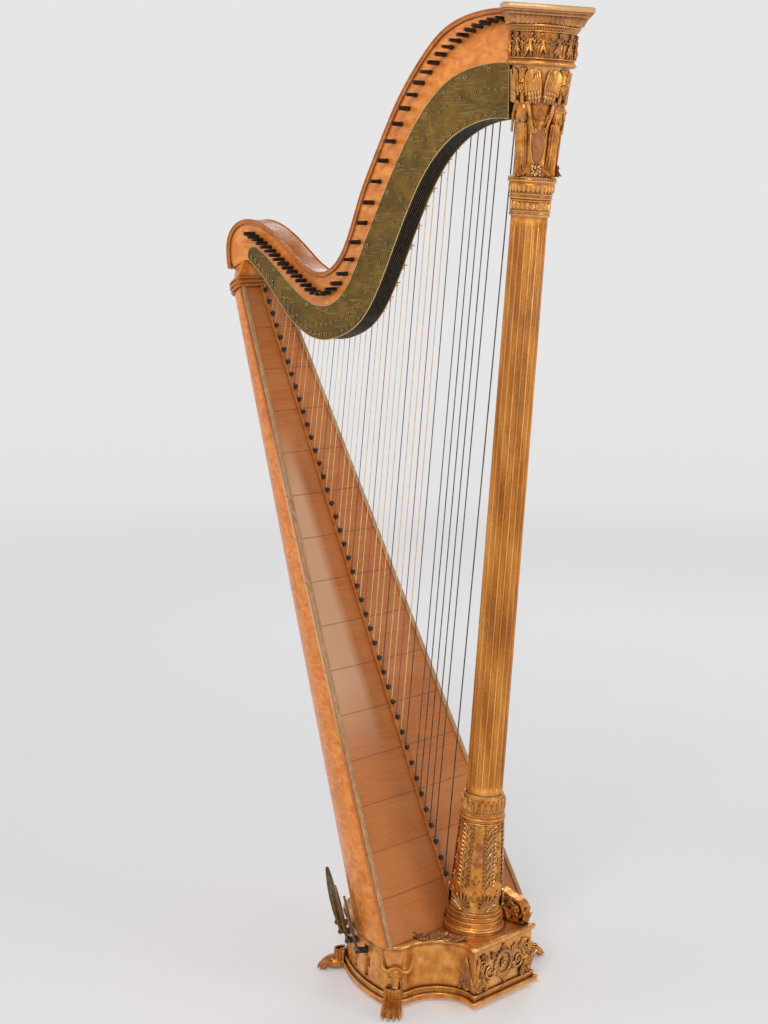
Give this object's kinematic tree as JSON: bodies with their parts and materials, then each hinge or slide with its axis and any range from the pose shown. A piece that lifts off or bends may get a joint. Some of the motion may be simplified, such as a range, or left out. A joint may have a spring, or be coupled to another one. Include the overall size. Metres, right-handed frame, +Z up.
{
  "type": "pedal harp",
  "caption": "Concert harp with a fluted column, winged-figure capital, curved neck with brass action plates, round-backed soundbox and folding pedals.",
  "frame": {"origin": "floor level at the bottom centre of the bounding box, on the plane of symmetry of the base", "axes": "+X towards the column (the end away from the player), -Y to the player's right, +Z up"},
  "size_m": [0.814, 0.4332, 1.713],
  "materials": {
    "gilding": "worn gilding over red-brown bole on carved wood",
    "maple": "french-polished quilted maple, orange",
    "spruce": "aged varnished spruce, cross-grained planks",
    "bare_wood": "plain unpolished wood inside",
    "bead_wood": "light moulding with gold line",
    "peg_wood": "black turned wood",
    "plate_brass": "green-brown patinated brass plate",
    "action_brass": "aged brass",
    "link_steel": "dark oiled steel",
    "pin_iron": "blued iron, dark",
    "gut": "translucent dried gut",
    "gut_red": "red-dyed gut",
    "gut_black": "black-dyed gut",
    "wound_wire": "tarnished wire over silk",
    "pedal_bronze": "dark bronze, worn on the edges",
    "iron": "dark wrought iron"
  },
  "bodies": {
    "harp_frame": {"base_box": "gilding", "base_top_board": "gilding", "base_plinth": "gilding", "paw_feet": "gilding", "scroll_console": "gilding", "column_foot": "gilding", "column_shaft": "gilding", "capital_bell": "gilding", "capital_frieze": "gilding", "capital_abacus": "gilding", "capital_figures": "gilding", "base_bottom_board": "bare_wood", "neck_core": "maple", "shoulder_block": "maple", "neck_cheek_far": "maple", "neck_cheek_near": "maple", "soundbox_shell": "maple", "shoulder_collar": "maple", "neck_crest": "maple", "soundbox_frame": "bare_wood", "inner_string_bar": "bare_wood", "soundboard": "spruce", "edge_beads": "bead_wood", "string_bar": "spruce", "string_pegs": "peg_wood", "action_plate_far": "plate_brass", "action_plate_near": "plate_brass", "string_nuts": "action_brass", "natural_discs": "action_brass", "sharp_discs": "action_brass", "disc_spindles": "action_brass", "plate_screws": "action_brass", "tuning_pins": "pin_iron", "action_links": "link_steel", "strings_gut": "gut", "strings_red": "gut_red", "strings_black": "gut_black", "strings_wound": "wound_wire", "pedal_axle": "iron"},
    "pedal_a_arm": {"pedal_arm_a": "iron"},
    "pedal_a_foot": {"pedal_foot_a": "pedal_bronze"},
    "pedal_a_rod": {"pedal_rod_a": "link_steel"},
    "pedal_g_arm": {"pedal_arm_g": "iron"},
    "pedal_g_foot": {"pedal_foot_g": "pedal_bronze"},
    "pedal_g_rod": {"pedal_rod_g": "link_steel"},
    "pedal_f_arm": {"pedal_arm_f": "iron"},
    "pedal_f_foot": {"pedal_foot_f": "pedal_bronze"},
    "pedal_f_rod": {"pedal_rod_f": "link_steel"},
    "pedal_e_arm": {"pedal_arm_e": "iron"},
    "pedal_e_foot": {"pedal_foot_e": "pedal_bronze"},
    "pedal_e_rod": {"pedal_rod_e": "link_steel"},
    "pedal_b_arm": {"pedal_arm_b": "iron"},
    "pedal_b_foot": {"pedal_foot_b": "pedal_bronze"},
    "pedal_b_rod": {"pedal_rod_b": "link_steel"},
    "pedal_c_arm": {"pedal_arm_c": "iron"},
    "pedal_c_foot": {"pedal_foot_c": "pedal_bronze"},
    "pedal_c_rod": {"pedal_rod_c": "link_steel"},
    "pedal_d_arm": {"pedal_arm_d": "iron"},
    "pedal_d_foot": {"pedal_foot_d": "pedal_bronze"},
    "pedal_d_rod": {"pedal_rod_d": "link_steel"}
  },
  "joints": [
    {"name": "pedal_a_press", "type": "hinge", "parent": "harp_frame", "child": "pedal_a_arm", "pos_m": [0.23, -0.0162, 0.084], "axis": [0, -1, 0], "range_deg": [0, 12.84], "stiffness_Nm_per_rad": 12, "springref_deg": -11.46},
    {"name": "pedal_a_fold", "type": "hinge", "parent": "pedal_a_arm", "child": "pedal_a_foot", "pos_m": [0.0571, -0.16804, 0.084], "axis": [0.7673, -0.6413, 0], "range_deg": [0, 77]},
    {"name": "pedal_a_rod_slide", "type": "slide", "parent": "harp_frame", "child": "pedal_a_rod", "axis": [0.0785, 0, 0.9969], "range_m": [-0.0125, 0]},
    {"name": "pedal_g_press", "type": "hinge", "parent": "harp_frame", "child": "pedal_g_arm", "pos_m": [0.23, -0.0108, 0.084], "axis": [0, -1, 0], "range_deg": [0, 10.06], "stiffness_Nm_per_rad": 12, "springref_deg": -11.46},
    {"name": "pedal_g_fold", "type": "hinge", "parent": "pedal_g_arm", "child": "pedal_g_foot", "pos_m": [0.01081, -0.14273, 0.084], "axis": [0.631, -0.7758, 0], "range_deg": [0, 77]},
    {"name": "pedal_g_rod_slide", "type": "slide", "parent": "harp_frame", "child": "pedal_g_rod", "axis": [0.0785, 0, 0.9969], "range_m": [-0.0125, 0]},
    {"name": "pedal_f_press", "type": "hinge", "parent": "harp_frame", "child": "pedal_f_arm", "pos_m": [0.23, -0.0054, 0.084], "axis": [0, -1, 0], "range_deg": [0, 8.45], "stiffness_Nm_per_rad": 12, "springref_deg": -11.46},
    {"name": "pedal_f_fold", "type": "hinge", "parent": "pedal_f_arm", "child": "pedal_f_foot", "pos_m": [-0.02969, -0.11656, 0.084], "axis": [0.5036, -0.8639, 0], "range_deg": [0, 77]},
    {"name": "pedal_f_rod_slide", "type": "slide", "parent": "harp_frame", "child": "pedal_f_rod", "axis": [0.0785, 0, 0.9969], "range_m": [-0.0125, 0]},
    {"name": "pedal_e_press", "type": "hinge", "parent": "harp_frame", "child": "pedal_e_arm", "pos_m": [0.23, 0, 0.084], "axis": [0, -1, 0], "range_deg": [0, 7.39], "stiffness_Nm_per_rad": 12, "springref_deg": -11.46},
    {"name": "pedal_e_fold", "type": "hinge", "parent": "pedal_e_arm", "child": "pedal_e_foot", "pos_m": [-0.06578, -0.08631, 0.084], "axis": [0.3714, -0.9285, 0], "range_deg": [0, 77]},
    {"name": "pedal_e_rod_slide", "type": "slide", "parent": "harp_frame", "child": "pedal_e_rod", "axis": [0.0785, 0, 0.9969], "range_m": [-0.0125, 0]},
    {"name": "pedal_b_press", "type": "hinge", "parent": "harp_frame", "child": "pedal_b_arm", "pos_m": [0.23, 0.0054, 0.084], "axis": [0, -1, 0], "range_deg": [0, 7.39], "stiffness_Nm_per_rad": 12, "springref_deg": -11.46},
    {"name": "pedal_b_fold", "type": "hinge", "parent": "pedal_b_arm", "child": "pedal_b_foot", "pos_m": [-0.06598, 0.08581, 0.084], "axis": [-0.342, -0.9397, 0], "range_deg": [0, 77]},
    {"name": "pedal_b_rod_slide", "type": "slide", "parent": "harp_frame", "child": "pedal_b_rod", "axis": [0.0785, 0, 0.9969], "range_m": [-0.0125, 0]},
    {"name": "pedal_c_press", "type": "hinge", "parent": "harp_frame", "child": "pedal_c_arm", "pos_m": [0.23, 0.0108, 0.084], "axis": [0, -1, 0], "range_deg": [0, 8.74], "stiffness_Nm_per_rad": 12, "springref_deg": -11.46},
    {"name": "pedal_c_fold", "type": "hinge", "parent": "pedal_c_arm", "child": "pedal_c_foot", "pos_m": [-0.02166, 0.12161, 0.084], "axis": [-0.5065, -0.8623, 0], "range_deg": [0, 77]},
    {"name": "pedal_c_rod_slide", "type": "slide", "parent": "harp_frame", "child": "pedal_c_rod", "axis": [0.0785, 0, 0.9969], "range_m": [-0.0125, 0]},
    {"name": "pedal_d_press", "type": "hinge", "parent": "harp_frame", "child": "pedal_d_arm", "pos_m": [0.23, 0.0162, 0.084], "axis": [0, -1, 0], "range_deg": [0, 11.16], "stiffness_Nm_per_rad": 12, "springref_deg": -11.46},
    {"name": "pedal_d_fold", "type": "hinge", "parent": "pedal_d_arm", "child": "pedal_d_foot", "pos_m": [0.03161, 0.15564, 0.084], "axis": [-0.6848, -0.7287, 0], "range_deg": [0, 77]},
    {"name": "pedal_d_rod_slide", "type": "slide", "parent": "harp_frame", "child": "pedal_d_rod", "axis": [0.0785, 0, 0.9969], "range_m": [-0.0125, 0]}
  ],
  "couplings": [
    {"joint": "pedal_a_rod_slide", "follows": "pedal_a_press", "m_per_rad": -0.046},
    {"joint": "pedal_g_rod_slide", "follows": "pedal_g_press", "m_per_rad": -0.046},
    {"joint": "pedal_f_rod_slide", "follows": "pedal_f_press", "m_per_rad": -0.046},
    {"joint": "pedal_e_rod_slide", "follows": "pedal_e_press", "m_per_rad": -0.046},
    {"joint": "pedal_b_rod_slide", "follows": "pedal_b_press", "m_per_rad": -0.046},
    {"joint": "pedal_c_rod_slide", "follows": "pedal_c_press", "m_per_rad": -0.046},
    {"joint": "pedal_d_rod_slide", "follows": "pedal_d_press", "m_per_rad": -0.046}
  ]
}
